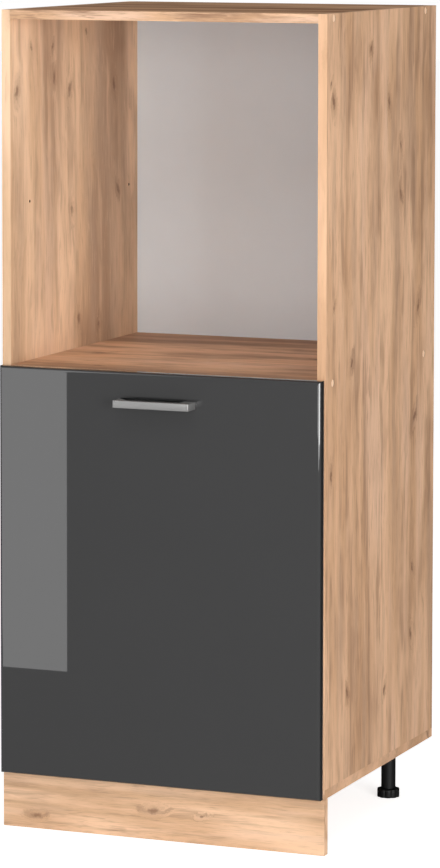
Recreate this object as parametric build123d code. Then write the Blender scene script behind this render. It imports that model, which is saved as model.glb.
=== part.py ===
from build123d import *
import math
import os

# An oven housing cabinet: a tall kitchen unit with an open oven niche above a
# closed compartment, on four height-adjustable feet behind a plinth board.
# Lengths are in millimetres and angles in degrees. X points to the right,
# the front faces -Y and Z points up from the floor. While a piece is made,
# y = 0 is the front edge of the carcass. The whole cabinet is then moved so
# that y = 0 is half way between the handle and the back.

# Carcass
CABINET_WIDTH = 600.0
CABINET_HEIGHT = 1430.0
CABINET_DEPTH = 560.0
BOARD = 16.0
BACK_THICKNESS = 3.0
PLINTH_SPACE = 98.0
NICHE_HEIGHT = 600.0
EDGE_BAND = 0.5
BACK_INSET = 1.0
BACK_SEAM = 1.0

# Adjustable shelf in the lower compartment
SHELF_SIDE_GAP = 1.0
SHELF_FRONT_SETBACK = 30.0
SHELF_BACK_GAP = 6.0
SHELF_LEVEL = 455.0

# Rows of shelf-pin holes
PIN_DIAMETER = 5.0
PIN_HOLE_DEPTH = 10.0
PIN_REACH = 9.0
PIN_ROW_FRONT = 80.0
PIN_ROW_BACK_SETBACK = 43.0
PIN_PITCH = 32.0
NICHE_HOLE_HEIGHT = 1093.0

# Carcass screws, dowels, caps and nails
FIT = 0.05
SCREW_FRONT = 32.0
SCREW_BACK_SETBACK = 60.0
SCREW_LENGTH = 50.0
SCREW_DIAMETER = 6.4
SCREW_HEAD_DIAMETER = 10.0
SCREW_HEAD_DEPTH = 3.0
BORE_SPARE = 1.0
DOWEL_DIAMETER = 8.0
DOWEL_LENGTH = 30.0
DOWEL_DEPTH_IN_SIDE = 10.0
CAP_DIAMETER = 12.5
CAP_THICKNESS = 0.8
NAIL_WIDTH = 1.8
NAIL_WIRE_THICKNESS = 1.2
NAIL_LENGTH = 18.0
NAIL_HEAD_WIDTH = 5.0
NAIL_HEAD_THICKNESS = 0.8
NAIL_OFFSET_FROM_SEAM = 4.0
NAIL_STEP = 230.0

# Feet
LEG_INSET_SIDE = 54.0
LEG_FRONT = 62.0
LEG_BACK = 474.0
LEG_TUBE_DIAMETER = 26.0
LEG_TUBE_WALL = 3.0
LEG_TUBE_END = 16.5
LEG_FLANGE_SIZE = 60.0
LEG_FLANGE_THICKNESS = 4.0
LEG_FLANGE_CORNER = 7.5
LEG_RIB_THICKNESS = 2.0
LEG_RIB_HEIGHT = 16.0
LEG_RIB_EDGE = 1.0
LEG_RIB_COUNT = 4
LEG_SCREW_CIRCLE = 46.0
LEG_SCREW_COUNT = 2
LEG_SCREW_ANGLE = 45.0
LEG_SCREW_DIAMETER = 3.5
LEG_SCREW_LENGTH = 15.0
LEG_SCREW_HEAD_DIAMETER = 7.0
LEG_SCREW_HEAD_HEIGHT = 2.2
FOOT_PAD_DIAMETER = 41.0
FOOT_PAD_HEIGHT = 15.0
FOOT_LOBES = 10
FOOT_LOBE_CUT = 3.2
FOOT_SPINDLE_DIAMETER = 19.4
FOOT_SPINDLE_TOP = 78.0
FOOT_SPINDLE_BORE = 10.0

# Plinth board and its clips
PLINTH_THICKNESS = 16.0
PLINTH_FLOOR_GAP = 1.0
PLINTH_TOP_GAP = 1.0
CLIP_HEIGHT = 20.0
CLIP_LEVEL = 50.0
CLIP_WALL = 3.0
CLIP_CLEARANCE = 0.4
CLIP_PRONG_REACH = 8.0
CLIP_PLATE_WIDTH = 56.0
CLIP_PLATE_THICKNESS = 3.0
CLIP_SCREW_SPACING = 44.0
CLIP_SCREW_DIAMETER = 3.5
CLIP_SCREW_LENGTH = 13.0
CLIP_SCREW_HEAD_DIAMETER = 6.5
CLIP_SCREW_HEAD_HEIGHT = 2.0

# Door
DOOR_SIDE_REVEAL = 2.0
DOOR_THICKNESS = 16.0
DOOR_GAP = 3.0
DOOR_BOTTOM_REVEAL = 0.5
DOOR_EDGE_RADIUS = 6.0

# Handle: a flat bow with two screws from behind the door
HANDLE_LENGTH = 140.0
HANDLE_HEIGHT = 13.0
HANDLE_PROJECTION = 32.0
HANDLE_BAR_THICKNESS = 9.0
HANDLE_LEG_WIDTH = 22.0
HANDLE_BELOW_DOOR_TOP = 52.0
HANDLE_SCREW_SPACING = 118.0
HANDLE_SCREW_DIAMETER = 4.0
HANDLE_SCREW_BITE = 12.0
HANDLE_SCREW_HEAD_DIAMETER = 8.0
HANDLE_SCREW_HEAD_HEIGHT = 2.2
HANDLE_CORNER_RADIUS = 1.5
HANDLE_INNER_RADIUS = 5.0

# Door bumpers
BUMPER_DIAMETER = 10.0
BUMPER_HEIGHT = 2.6
BUMPER_INSET = 30.0

# Hinges: single-pivot cup hinges with a cranked arm
HINGE_END_DISTANCE = 100.0
CUP_DIAMETER = 35.0
CUP_DEPTH = 12.5
CUP_WALL = 0.8
CUP_EDGE_DISTANCE = 3.0
CUP_FLANGE_THICKNESS = 1.0
CUP_FLANGE_LENGTH = 62.0
CUP_FLANGE_WIDTH = 17.0
CUP_FLANGE_CORNER = 5.5
CUP_FLANGE_RIM = 1.5
CUP_SCREW_SPACING = 48.0
CUP_SCREW_SETBACK = 6.0
CUP_SCREW_DIAMETER = 3.5
CUP_SCREW_LENGTH = 11.0
CUP_SCREW_HEAD_DIAMETER = 6.5
CUP_SCREW_HEAD_HEIGHT = 1.2
PIVOT_EDGE_DISTANCE = 7.0
PIVOT_DEPTH_IN_DOOR = 9.0
PIN_SHAFT_DIAMETER = 2.0
PIN_SHAFT_LENGTH = 18.6
CHEEK_GAP = 0.4
CHEEK_REACH = 3.0
ARM_EYE_DIAMETER = 3.8
ARM_EYE_WIDTH = 11.0
ARM_THICKNESS = 1.8
ARM_WIDTH = 18.0
ARM_NECK_CLEARANCE = 12.5
ARM_HEIGHT = 11.0
ARM_LENGTH = 62.0
ARM_SIDE_DEPTH = 5.0
PLATE_SCREW_SETBACK = 37.0
PLATE_SCREW_SPACING = 32.0
PLATE_THICKNESS = 2.5
PLATE_WING_WIDTH = 14.0
PLATE_WING_LENGTH = 48.0
PLATE_WING_CORNER = 4.5
PLATE_BRIDGE_WIDTH = 14.0
PLATE_BRIDGE_START = 21.0
PLATE_BRIDGE_END = 58.0
PLATE_SCREW_DIAMETER = 5.0
PLATE_SCREW_LENGTH = 13.0
PLATE_SCREW_HEAD_DIAMETER = 8.5
PLATE_SCREW_HEAD_HEIGHT = 1.6
ARM_SCREW_DIAMETER = 4.0
ARM_SCREW_HEAD_DIAMETER = 8.0
ARM_SCREW_HEAD_HEIGHT = 2.0
ARM_SCREW_BITE = 4.0
ARM_SCREW_PLACES = (30.0, 52.0)

# Places worked out from the sizes above
HALF_WIDTH = CABINET_WIDTH / 2
INNER_HALF = HALF_WIDTH - BOARD
SIDE_DEPTH = CABINET_DEPTH - BACK_THICKNESS
SIDE_BOTTOM = PLINTH_SPACE + BOARD
TOP_PANEL_BOTTOM = CABINET_HEIGHT - BOARD
SHELF_TOP = TOP_PANEL_BOTTOM - NICHE_HEIGHT
SHELF_BOTTOM = SHELF_TOP - BOARD
TOP_MIDDLE = TOP_PANEL_BOTTOM + BOARD / 2
SHELF_MIDDLE = SHELF_BOTTOM + BOARD / 2
DOOR_TOP = SHELF_TOP
DOOR_BOTTOM = PLINTH_SPACE + DOOR_BOTTOM_REVEAL
DOOR_WIDTH = CABINET_WIDTH - 2 * DOOR_SIDE_REVEAL
DOOR_BACK = -DOOR_GAP
DOOR_FRONT = DOOR_BACK - DOOR_THICKNESS
HANDLE_FRONT = DOOR_FRONT - HANDLE_PROJECTION
HANDLE_LEVEL = DOOR_TOP - HANDLE_BELOW_DOOR_TOP
LEG_X = HALF_WIDTH - LEG_INSET_SIDE
HINGE_LEVELS = {"lower": DOOR_BOTTOM + HINGE_END_DISTANCE, "upper": DOOR_TOP - HINGE_END_DISTANCE}
DOOR_EDGE_X = -DOOR_WIDTH / 2
PIVOT_X = DOOR_EDGE_X + PIVOT_EDGE_DISTANCE
PIVOT_Y = DOOR_BACK - PIVOT_DEPTH_IN_DOOR
CUP_X = DOOR_EDGE_X + CUP_EDGE_DISTANCE + CUP_DIAMETER / 2
MIDDLE_Y = (HANDLE_FRONT + CABINET_DEPTH) / 2
PIN_ROW_BACK = CABINET_DEPTH - PIN_ROW_BACK_SETBACK
SCREW_BACK = CABINET_DEPTH - SCREW_BACK_SETBACK
DOWEL_PLACE = (SCREW_FRONT + SCREW_BACK) / 2
CAP_SEAT_DEPTH = CAP_THICKNESS + FIT
PIN_LEVEL = SHELF_LEVEL - PIN_DIAMETER / 2
PIN_HOLE_LEVELS = tuple(PIN_LEVEL + PIN_PITCH * step for step in (-1, 0, 1))

RIGHT = (1, 0, 0)
LEFT = (-1, 0, 0)
FRONT = (0, -1, 0)
BACK = (0, 1, 0)
UP = (0, 0, 1)
SIDES = {"left": -1, "right": 1}


def block(x, y, z):
    """A box between the two ends given for each axis."""
    size = [end - start for start, end in (x, y, z)]
    corner = Align.MIN, Align.MIN, Align.MIN
    return Pos(x[0], y[0], z[0]) * Box(*size, align=corner)


def rod(diameter, length, start, direction):
    """A round bar that starts at a point and runs along a direction."""
    bar = Cylinder(diameter / 2, length, align=(Align.CENTER, Align.CENTER, Align.MIN))
    return Plane(origin=start, z_dir=direction) * bar


def taper(diameter, end_diameter, length, start, direction):
    """A cone with its wide end at the start."""
    cone = Cone(diameter / 2, end_diameter / 2, length, align=(Align.CENTER, Align.CENTER, Align.MIN))
    return Plane(origin=start, z_dir=direction) * cone


def beyond(start, direction, distance):
    """The point that lies a distance from the start along a direction."""
    return tuple(s + d * distance for s, d in zip(start, direction))


def side_x(side, distance_in):
    """The x place that lies a distance in from one outer side face."""
    return SIDES[side] * (HALF_WIDTH - distance_in)


def inwards(side):
    return LEFT if side == "right" else RIGHT


def outwards(side):
    return RIGHT if side == "right" else LEFT


# Fasteners

def carcass_screw(start, direction):
    """A chipboard screw with a flat countersunk head."""
    head = taper(SCREW_HEAD_DIAMETER, SCREW_DIAMETER, SCREW_HEAD_DEPTH, start, direction)
    neck = beyond(start, direction, SCREW_HEAD_DEPTH)
    return head + rod(SCREW_DIAMETER, SCREW_LENGTH - SCREW_HEAD_DEPTH, neck, direction)


def carcass_screw_bore(start, direction):
    """The countersunk hole that a carcass screw sits in, through both boards."""
    head = taper(SCREW_HEAD_DIAMETER + 2 * FIT, SCREW_DIAMETER + 2 * FIT, SCREW_HEAD_DEPTH, start, direction)
    return head + rod(SCREW_DIAMETER + 2 * FIT, SCREW_LENGTH + BORE_SPARE, start, direction)


def capped_screw_bore(start, direction):
    """A screw's hole with the shallow seat of its cap in front of the head."""
    seat = rod(CAP_DIAMETER + 2 * FIT, CAP_SEAT_DEPTH, beyond(start, direction, -CAP_SEAT_DEPTH), direction)
    return seat + carcass_screw_bore(start, direction)


def dowel_start(start, direction):
    """Where a dowel begins inside the side board that it is driven from."""
    return beyond(start, direction, BOARD - DOWEL_DEPTH_IN_SIDE)


def dowel(start, direction):
    return rod(DOWEL_DIAMETER, DOWEL_LENGTH, dowel_start(start, direction), direction)


def dowel_bore(start, direction):
    first = beyond(dowel_start(start, direction), direction, -BORE_SPARE)
    return rod(DOWEL_DIAMETER + 2 * FIT, DOWEL_LENGTH + 2 * BORE_SPARE, first, direction)


def cover_cap(start, direction):
    """A flush cap in the seat in front of a screw's head."""
    return rod(CAP_DIAMETER, CAP_THICKNESS, beyond(start, direction, -CAP_SEAT_DEPTH), direction)


def pan_screw(diameter, length, head_diameter, head_height, start, direction):
    """A screw with a low head outside the start point and its shank past it."""
    head = rod(head_diameter, head_height, beyond(start, direction, -head_height), direction)
    return head + rod(diameter, length, start, direction)


def screw_lines():
    """Start and direction of each capped screw that joins a side to a board between the sides."""
    lines = []
    for side in SIDES:
        for level in (TOP_MIDDLE, SHELF_MIDDLE):
            for place in (SCREW_FRONT, SCREW_BACK):
                lines.append(((side_x(side, CAP_SEAT_DEPTH), place, level), inwards(side)))
    return lines


def bottom_screw_lines():
    """Start and direction of each screw from below the bottom board into a side."""
    lines = []
    for side in SIDES:
        for place in (SCREW_FRONT, SCREW_BACK):
            lines.append(((side_x(side, BOARD / 2), place, PLINTH_SPACE), UP))
    return lines


def dowel_lines():
    """Start and direction of each dowel, half way between the two screws of a joint."""
    lines = []
    for side in SIDES:
        for level in (TOP_MIDDLE, SHELF_MIDDLE):
            lines.append(((side_x(side, 0), DOWEL_PLACE, level), inwards(side)))
        lines.append(((side_x(side, BOARD / 2), DOWEL_PLACE, PLINTH_SPACE), UP))
    return lines


# Boards

def pin_holes(side):
    """The blind holes for shelf pins in the inner face of one side."""
    places = [(row, NICHE_HOLE_HEIGHT) for row in (PIN_ROW_FRONT, PIN_ROW_BACK)]
    for level in PIN_HOLE_LEVELS:
        places += [(row, level) for row in (PIN_ROW_FRONT, PIN_ROW_BACK)]
    holes = []
    for row, level in places:
        start = (side_x(side, BOARD), row, level)
        holes.append(rod(PIN_DIAMETER + 2 * FIT, PIN_HOLE_DEPTH, start, outwards(side)))
    return holes


def cut(board, cutters):
    """Take each cutter out of a board and return the one solid that is left."""
    for cutter in cutters:
        board = board - cutter
    return board


def touching(board, lines, maker):
    """The cutters of the given kind that reach into a board."""
    box = board.bounding_box()
    chosen = []
    for line in lines:
        cutter = maker(*line)
        other = cutter.bounding_box()
        overlap = [
            min(box.max.X, other.max.X) - max(box.min.X, other.min.X),
            min(box.max.Y, other.max.Y) - max(box.min.Y, other.min.Y),
            min(box.max.Z, other.max.Z) - max(box.min.Z, other.min.Z),
        ]
        if min(overlap) > 0:
            chosen.append(cutter)
    return chosen


def joined_board(x, y, z):
    """A board with the holes of every screw, dowel and nail that reaches it."""
    board = block(x, y, z)
    cutters = touching(board, screw_lines(), capped_screw_bore)
    cutters += touching(board, bottom_screw_lines(), carcass_screw_bore)
    cutters += touching(board, dowel_lines(), dowel_bore)
    cutters += touching(board, nail_lines(), nail_bore)
    return cut(board, cutters)


def side_panel(side):
    x = sorted((side_x(side, 0), side_x(side, BOARD)))
    board = joined_board(x, (EDGE_BAND, SIDE_DEPTH), (SIDE_BOTTOM, CABINET_HEIGHT))
    board = cut(board, pin_holes(side))
    if side == "left":
        board = cut(board, [bore for name in HINGE_LEVELS for bore in plate_screw_bores(name)])
    return board


def between_sides(bottom):
    """A board that fits between the two sides with its edge band in front."""
    return joined_board((-INNER_HALF, INNER_HALF), (EDGE_BAND, SIDE_DEPTH), (bottom, bottom + BOARD))


def bottom_panel():
    board = joined_board((-HALF_WIDTH, HALF_WIDTH), (EDGE_BAND, SIDE_DEPTH), (PLINTH_SPACE, SIDE_BOTTOM))
    return cut(board, [bore for place in leg_places().values() for bore in leg_screw_bores(place)])


def edge_band(x, z):
    return block(x, (0, EDGE_BAND), z)


def adjustable_shelf():
    half = INNER_HALF - SHELF_SIDE_GAP
    depth = (SHELF_FRONT_SETBACK + EDGE_BAND, SIDE_DEPTH - SHELF_BACK_GAP)
    return block((-half, half), depth, (SHELF_LEVEL, SHELF_LEVEL + BOARD))


def adjustable_shelf_band():
    half = INNER_HALF - SHELF_SIDE_GAP
    depth = (SHELF_FRONT_SETBACK, SHELF_FRONT_SETBACK + EDGE_BAND)
    return block((-half, half), depth, (SHELF_LEVEL, SHELF_LEVEL + BOARD))


def shelf_pins():
    pins = []
    for side in SIDES:
        for row in (PIN_ROW_FRONT, PIN_ROW_BACK):
            start = (side_x(side, BOARD), row, PIN_LEVEL)
            root = beyond(start, outwards(side), PIN_HOLE_DEPTH - BORE_SPARE)
            pins.append(rod(PIN_DIAMETER, PIN_HOLE_DEPTH - BORE_SPARE + PIN_REACH, root, inwards(side)))
    return pins


# Back boards and their nails

def back_limits():
    """Lowest and highest z of the two back boards."""
    seam = SHELF_MIDDLE
    return {
        "lower": (PLINTH_SPACE + BACK_INSET, seam - BACK_SEAM / 2),
        "upper": (seam + BACK_SEAM / 2, CABINET_HEIGHT - BACK_INSET),
    }


def nail_lines():
    """Start and direction of each nail, round the rim of both back boards."""
    places = []
    for low, high in back_limits().values():
        first = max(low, SIDE_BOTTOM)
        count = max(2, round((high - first) / NAIL_STEP))
        step = (high - first) / count
        levels = [first + step * (index + 0.5) for index in range(count)]
        places += [(side_x(side, BOARD / 2), level) for side in SIDES for level in levels]
    rows = (
        PLINTH_SPACE + BOARD / 2,
        SHELF_MIDDLE - NAIL_OFFSET_FROM_SEAM,
        SHELF_MIDDLE + NAIL_OFFSET_FROM_SEAM,
        TOP_MIDDLE,
    )
    places += [(x, level) for level in rows for x in (-INNER_HALF / 2, INNER_HALF / 2)]
    return [((x, CABINET_DEPTH - NAIL_HEAD_THICKNESS, level), FRONT) for x, level in places]


def nail_form(start, direction, length, spare):
    """A nail of flat wire with a T-shaped head; spare widens it into its hole."""
    wire = NAIL_WIRE_THICKNESS + 2 * spare
    shank = Box(NAIL_WIDTH + 2 * spare, wire, length, align=(Align.CENTER, Align.CENTER, Align.MIN))
    head_align = (Align.CENTER, Align.CENTER, Align.MAX)
    head = Box(NAIL_HEAD_WIDTH + 2 * spare, wire, NAIL_HEAD_THICKNESS, align=head_align)
    return Plane(origin=start, x_dir=RIGHT, z_dir=direction) * (shank + head)


def nail(start, direction):
    return nail_form(start, direction, NAIL_LENGTH, 0)


def nail_bore(start, direction):
    return nail_form(start, direction, NAIL_LENGTH + BORE_SPARE, FIT)


def back_panel(name):
    low, high = back_limits()[name]
    half = HALF_WIDTH - BACK_INSET
    board = block((-half, half), (SIDE_DEPTH, CABINET_DEPTH), (low, high))
    return cut(board, touching(board, nail_lines(), nail_bore))


# Feet

def leg_places():
    """The x and y of each foot."""
    places = {}
    for row, y in (("front", LEG_FRONT), ("rear", LEG_BACK)):
        for side in SIDES:
            places[f"{row}_{side}"] = (SIDES[side] * LEG_X, y)
    return places


def leg_screw_points(place):
    points = []
    for index in range(LEG_SCREW_COUNT):
        angle = math.radians(LEG_SCREW_ANGLE + 360 / LEG_SCREW_COUNT * index)
        x = place[0] + LEG_SCREW_CIRCLE / 2 * math.cos(angle)
        y = place[1] + LEG_SCREW_CIRCLE / 2 * math.sin(angle)
        points.append((x, y, PLINTH_SPACE - LEG_FLANGE_THICKNESS))
    return points


def leg_screw(point):
    length = LEG_SCREW_LENGTH
    return pan_screw(LEG_SCREW_DIAMETER, length, LEG_SCREW_HEAD_DIAMETER, LEG_SCREW_HEAD_HEIGHT, point, UP)


def leg_screw_bores(place):
    length = LEG_SCREW_LENGTH + FIT
    return [rod(LEG_SCREW_DIAMETER + 2 * FIT, length, point, UP) for point in leg_screw_points(place)]


def leg_socket(place):
    """A moulded socket: a square flange with ribs and a tube for the spindle."""
    x, y = place
    plate_bottom = PLINTH_SPACE - LEG_FLANGE_THICKNESS
    outline = RectangleRounded(LEG_FLANGE_SIZE, LEG_FLANGE_SIZE, LEG_FLANGE_CORNER)
    flange = Pos(x, y, plate_bottom) * extrude(outline, LEG_FLANGE_THICKNESS)
    tube = rod(LEG_TUBE_DIAMETER, plate_bottom - LEG_TUBE_END, (x, y, LEG_TUBE_END), UP)
    reach = (LEG_FLANGE_SIZE - LEG_TUBE_DIAMETER) / 2 - LEG_RIB_EDGE
    root = -LEG_TUBE_WALL / 2
    triangle = Polyline((root, 0), (reach, 0), (0, -LEG_RIB_HEIGHT), (root, -LEG_RIB_HEIGHT), close=True)
    web = extrude(make_face(triangle), LEG_RIB_THICKNESS / 2, both=True)
    socket = flange + tube
    for turn in PolarLocations(LEG_TUBE_DIAMETER / 2, LEG_RIB_COUNT):
        socket = socket + Pos(x, y, plate_bottom) * turn * Rot(90, 0, 0) * web
    bore = rod(LEG_TUBE_DIAMETER - 2 * LEG_TUBE_WALL, plate_bottom - LEG_TUBE_END, (x, y, LEG_TUBE_END), UP)
    return cut(socket, [bore] + leg_screw_bores(place))


def leg_foot(place):
    """A foot with a lobed grip pad and a hollow spindle that runs in the socket."""
    x, y = place
    radius = FOOT_PAD_DIAMETER / 2
    hollows = PolarLocations(radius + FOOT_LOBE_CUT / 2, FOOT_LOBES) * Circle(FOOT_LOBE_CUT)
    pad = extrude(Circle(radius) - hollows, FOOT_PAD_HEIGHT)
    spindle = rod(FOOT_SPINDLE_DIAMETER, FOOT_SPINDLE_TOP, (0, 0, 0), UP)
    bore = rod(FOOT_SPINDLE_BORE, FOOT_SPINDLE_TOP, (0, 0, FOOT_PAD_HEIGHT), UP)
    return Pos(x, y, 0) * (pad + spindle - bore)


# Plinth

def clip_screw_points(side):
    places = leg_places()[f"front_{side}"]
    y = PLINTH_THICKNESS + CLIP_PLATE_THICKNESS
    return [(places[0] + half * CLIP_SCREW_SPACING / 2, y, CLIP_LEVEL) for half in (-1, 1)]


def clip_screw(point):
    head = CLIP_SCREW_HEAD_DIAMETER, CLIP_SCREW_HEAD_HEIGHT
    return pan_screw(CLIP_SCREW_DIAMETER, CLIP_SCREW_LENGTH, *head, point, FRONT)


def clip_screw_bores(side):
    diameter = CLIP_SCREW_DIAMETER + 2 * FIT
    return [rod(diameter, CLIP_SCREW_LENGTH + FIT, point, FRONT) for point in clip_screw_points(side)]


def plinth_board():
    z = (PLINTH_FLOOR_GAP, PLINTH_SPACE - PLINTH_TOP_GAP)
    board = block((-HALF_WIDTH, HALF_WIDTH), (EDGE_BAND, PLINTH_THICKNESS), z)
    return cut(board, [bore for side in SIDES for bore in clip_screw_bores(side)])


def plinth_band():
    z = (PLINTH_FLOOR_GAP, PLINTH_SPACE - PLINTH_TOP_GAP)
    return block((-HALF_WIDTH, HALF_WIDTH), (0, EDGE_BAND), z)


def plinth_clip(side):
    """A clip on the back of the plinth whose fork pushes onto the leg tube."""
    x, leg_y = leg_places()[f"front_{side}"]
    start = PLINTH_THICKNESS
    inner = LEG_TUBE_DIAMETER / 2 + CLIP_CLEARANCE
    outer = inner + CLIP_WALL
    low = CLIP_LEVEL - CLIP_HEIGHT / 2
    high = CLIP_LEVEL + CLIP_HEIGHT / 2
    plate_end = start + CLIP_PLATE_THICKNESS
    plate = block((x - CLIP_PLATE_WIDTH / 2, x + CLIP_PLATE_WIDTH / 2), (start, plate_end), (low, high))
    fork = block((x - outer, x + outer), (plate_end, leg_y + CLIP_PRONG_REACH), (low, high))
    seat = rod(2 * inner, CLIP_HEIGHT, (x, leg_y, low), UP)
    mouth = block((x - inner, x + inner), (leg_y, leg_y + CLIP_PRONG_REACH), (low, high))
    hollow_start = plate_end + CLIP_WALL
    hollow = block((x - inner, x + inner), (hollow_start, leg_y - inner - CLIP_WALL), (low, high))
    clip = fork - seat - mouth - hollow + plate
    return cut(clip, clip_screw_bores(side))


# Door, handle and bumpers

def handle_screw_points():
    half = HANDLE_SCREW_SPACING / 2
    return [(x, DOOR_BACK, HANDLE_LEVEL) for x in (-half, half)]


def handle_screw(point):
    head = HANDLE_SCREW_HEAD_DIAMETER, HANDLE_SCREW_HEAD_HEIGHT
    length = DOOR_THICKNESS + HANDLE_SCREW_BITE
    return pan_screw(HANDLE_SCREW_DIAMETER, length, *head, point, FRONT)


def handle_screw_bore(point):
    length = DOOR_THICKNESS + HANDLE_SCREW_BITE + BORE_SPARE
    return rod(HANDLE_SCREW_DIAMETER + 2 * FIT, length, point, FRONT)


def door_panel():
    """The door slab with softened front edges, cup bores and screw holes."""
    half = DOOR_WIDTH / 2
    slab = block((-half, half), (DOOR_FRONT, DOOR_BACK), (DOOR_BOTTOM, DOOR_TOP))
    slab = fillet(slab.faces().sort_by(Axis.Y)[0].edges(), DOOR_EDGE_RADIUS)
    cutters = [handle_screw_bore(point) for point in handle_screw_points()]
    for level in HINGE_LEVELS.values():
        cutters.append(rod(CUP_DIAMETER + 2 * FIT, CUP_DEPTH + FIT, (CUP_X, DOOR_BACK, level), FRONT))
        cutters += [cup_screw_bore(point) for point in cup_screw_points(level)]
    return cut(slab, cutters)


def handle():
    """A flat bow: a straight bar with a wide leg at each end, cut from one profile."""
    level = HANDLE_LEVEL
    outline = Pos(0, (HANDLE_FRONT + DOOR_FRONT) / 2) * Rectangle(HANDLE_LENGTH, HANDLE_PROJECTION)
    gap_depth = HANDLE_PROJECTION - HANDLE_BAR_THICKNESS
    gap_width = HANDLE_LENGTH - 2 * HANDLE_LEG_WIDTH
    gap_block = block(
        (-gap_width / 2, gap_width / 2),
        (DOOR_FRONT - gap_depth, DOOR_FRONT),
        (level - HANDLE_HEIGHT / 2, level + HANDLE_HEIGHT / 2),
    )
    inner_edges = gap_block.edges().filter_by(Axis.Z).group_by(Axis.Y)[0]
    gap_block = fillet(inner_edges, HANDLE_INNER_RADIUS)
    body = Pos(0, 0, level - HANDLE_HEIGHT / 2) * extrude(outline, HANDLE_HEIGHT)
    front_corners = body.edges().filter_by(Axis.Z).group_by(Axis.Y)[0]
    body = fillet(front_corners, HANDLE_CORNER_RADIUS)
    body = body - gap_block
    return cut(body, [handle_screw_bore(point) for point in handle_screw_points()])


def door_bumpers():
    """Soft stick-on dots on the free corners of the door's back."""
    x = HALF_WIDTH - BOARD / 2
    levels = (DOOR_BOTTOM + BUMPER_INSET, DOOR_TOP - BUMPER_INSET)
    return [rod(BUMPER_DIAMETER, BUMPER_HEIGHT, (x, DOOR_BACK, level), BACK) for level in levels]


# Hinges

def cup_screw_points(level):
    x = CUP_X + CUP_SCREW_SETBACK
    return [(x, DOOR_BACK + CUP_FLANGE_THICKNESS, level + half * CUP_SCREW_SPACING / 2) for half in (-1, 1)]


def cup_screw(point):
    head = CUP_SCREW_HEAD_DIAMETER, CUP_SCREW_HEAD_HEIGHT
    return pan_screw(CUP_SCREW_DIAMETER, CUP_SCREW_LENGTH, *head, point, FRONT)


def cup_screw_bore(point):
    return rod(CUP_SCREW_DIAMETER + 2 * FIT, CUP_SCREW_LENGTH + FIT, point, FRONT)


def hinge_cup(level):
    """A pressed cup with a winged flange on the door and bores for the pin."""
    centre = (CUP_X, DOOR_BACK, level)
    shell = rod(CUP_DIAMETER, CUP_DEPTH, centre, FRONT)
    wing_x = CUP_X + CUP_SCREW_SETBACK
    wing = RectangleRounded(CUP_FLANGE_WIDTH, CUP_FLANGE_LENGTH, CUP_FLANGE_CORNER)
    back_face = Plane(origin=(0, DOOR_BACK, 0), x_dir=RIGHT, z_dir=BACK)
    local_wing = Pos(wing_x, -level) * wing
    flange = back_face * extrude(local_wing, CUP_FLANGE_THICKNESS)
    rim = rod(CUP_DIAMETER + 2 * CUP_FLANGE_RIM, CUP_FLANGE_THICKNESS, centre, BACK)
    inside = rod(CUP_DIAMETER - 2 * CUP_WALL, CUP_DEPTH - CUP_WALL, centre, FRONT)
    mouth = rod(CUP_DIAMETER - 2 * CUP_WALL, CUP_FLANGE_THICKNESS, centre, BACK)
    cup = shell + flange + rim - inside - mouth
    cheek_start = ARM_EYE_WIDTH / 2 + CHEEK_GAP
    for hand in (-1, 1):
        z = sorted((level + hand * cheek_start, level + hand * CUP_DIAMETER / 2))
        lug = block((DOOR_EDGE_X, PIVOT_X + CHEEK_REACH), (DOOR_BACK - CUP_DEPTH, DOOR_BACK), z)
        cup = cup + (lug & shell)
    return cut(cup, [hinge_pin(level)] + [cup_screw_bore(point) for point in cup_screw_points(level)])


def on_pivot(diameter, length, level):
    """A bar on the hinge's pivot line, centred on the hinge's level."""
    return rod(diameter, length, (PIVOT_X, PIVOT_Y, level - length / 2), UP)


def hinge_pin(level):
    return on_pivot(PIN_SHAFT_DIAMETER, PIN_SHAFT_LENGTH, level)


def hinge_arm(level):
    """A cranked arm: an eye on the pin, a narrow neck out of the cup and a channel."""
    top = -INNER_HALF + ARM_HEIGHT
    neck_x = PIVOT_X + ARM_NECK_CLEARANCE
    half = ARM_THICKNESS / 2
    path = Polyline(
        (PIVOT_X, PIVOT_Y),
        (neck_x, PIVOT_Y),
        (neck_x, 0),
        (top - half, ARM_HEIGHT - half),
        (top - half, ARM_LENGTH),
    )
    profile = make_face(offset(path, half, kind=Kind.INTERSECTION))
    arm = Pos(0, 0, level) * extrude(profile, ARM_EYE_WIDTH / 2, both=True)
    eye = on_pivot(ARM_EYE_DIAMETER, ARM_EYE_WIDTH, level)
    cover = block(
        (top - ARM_THICKNESS, top),
        (ARM_HEIGHT, ARM_LENGTH + half),
        (level - ARM_WIDTH / 2, level + ARM_WIDTH / 2),
    )
    arm = arm + eye + cover
    for hand in (-1, 1):
        edge = level + hand * (ARM_WIDTH / 2 - ARM_THICKNESS / 2)
        arm = arm + block(
            (top - ARM_SIDE_DEPTH, top),
            (ARM_HEIGHT, ARM_LENGTH + half),
            (edge - ARM_THICKNESS / 2, edge + ARM_THICKNESS / 2),
        )
    cutters = [on_pivot(PIN_SHAFT_DIAMETER + 2 * FIT, ARM_EYE_WIDTH, level)]
    for place in ARM_SCREW_PLACES:
        start = (top, place, level)
        cutters.append(rod(ARM_SCREW_DIAMETER + 2 * FIT, ARM_THICKNESS, start, LEFT))
    return cut(arm, cutters)


def arm_screw_points(level):
    return [(-INNER_HALF + ARM_HEIGHT, place, level) for place in ARM_SCREW_PLACES]


def arm_screw(point):
    head = ARM_SCREW_HEAD_DIAMETER, ARM_SCREW_HEAD_HEIGHT
    return pan_screw(ARM_SCREW_DIAMETER, ARM_THICKNESS + ARM_SCREW_BITE, *head, point, LEFT)


def plate_screw_points(level):
    x = -INNER_HALF + PLATE_THICKNESS
    return [(x, PLATE_SCREW_SETBACK, level + half * PLATE_SCREW_SPACING / 2) for half in (-1, 1)]


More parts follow.
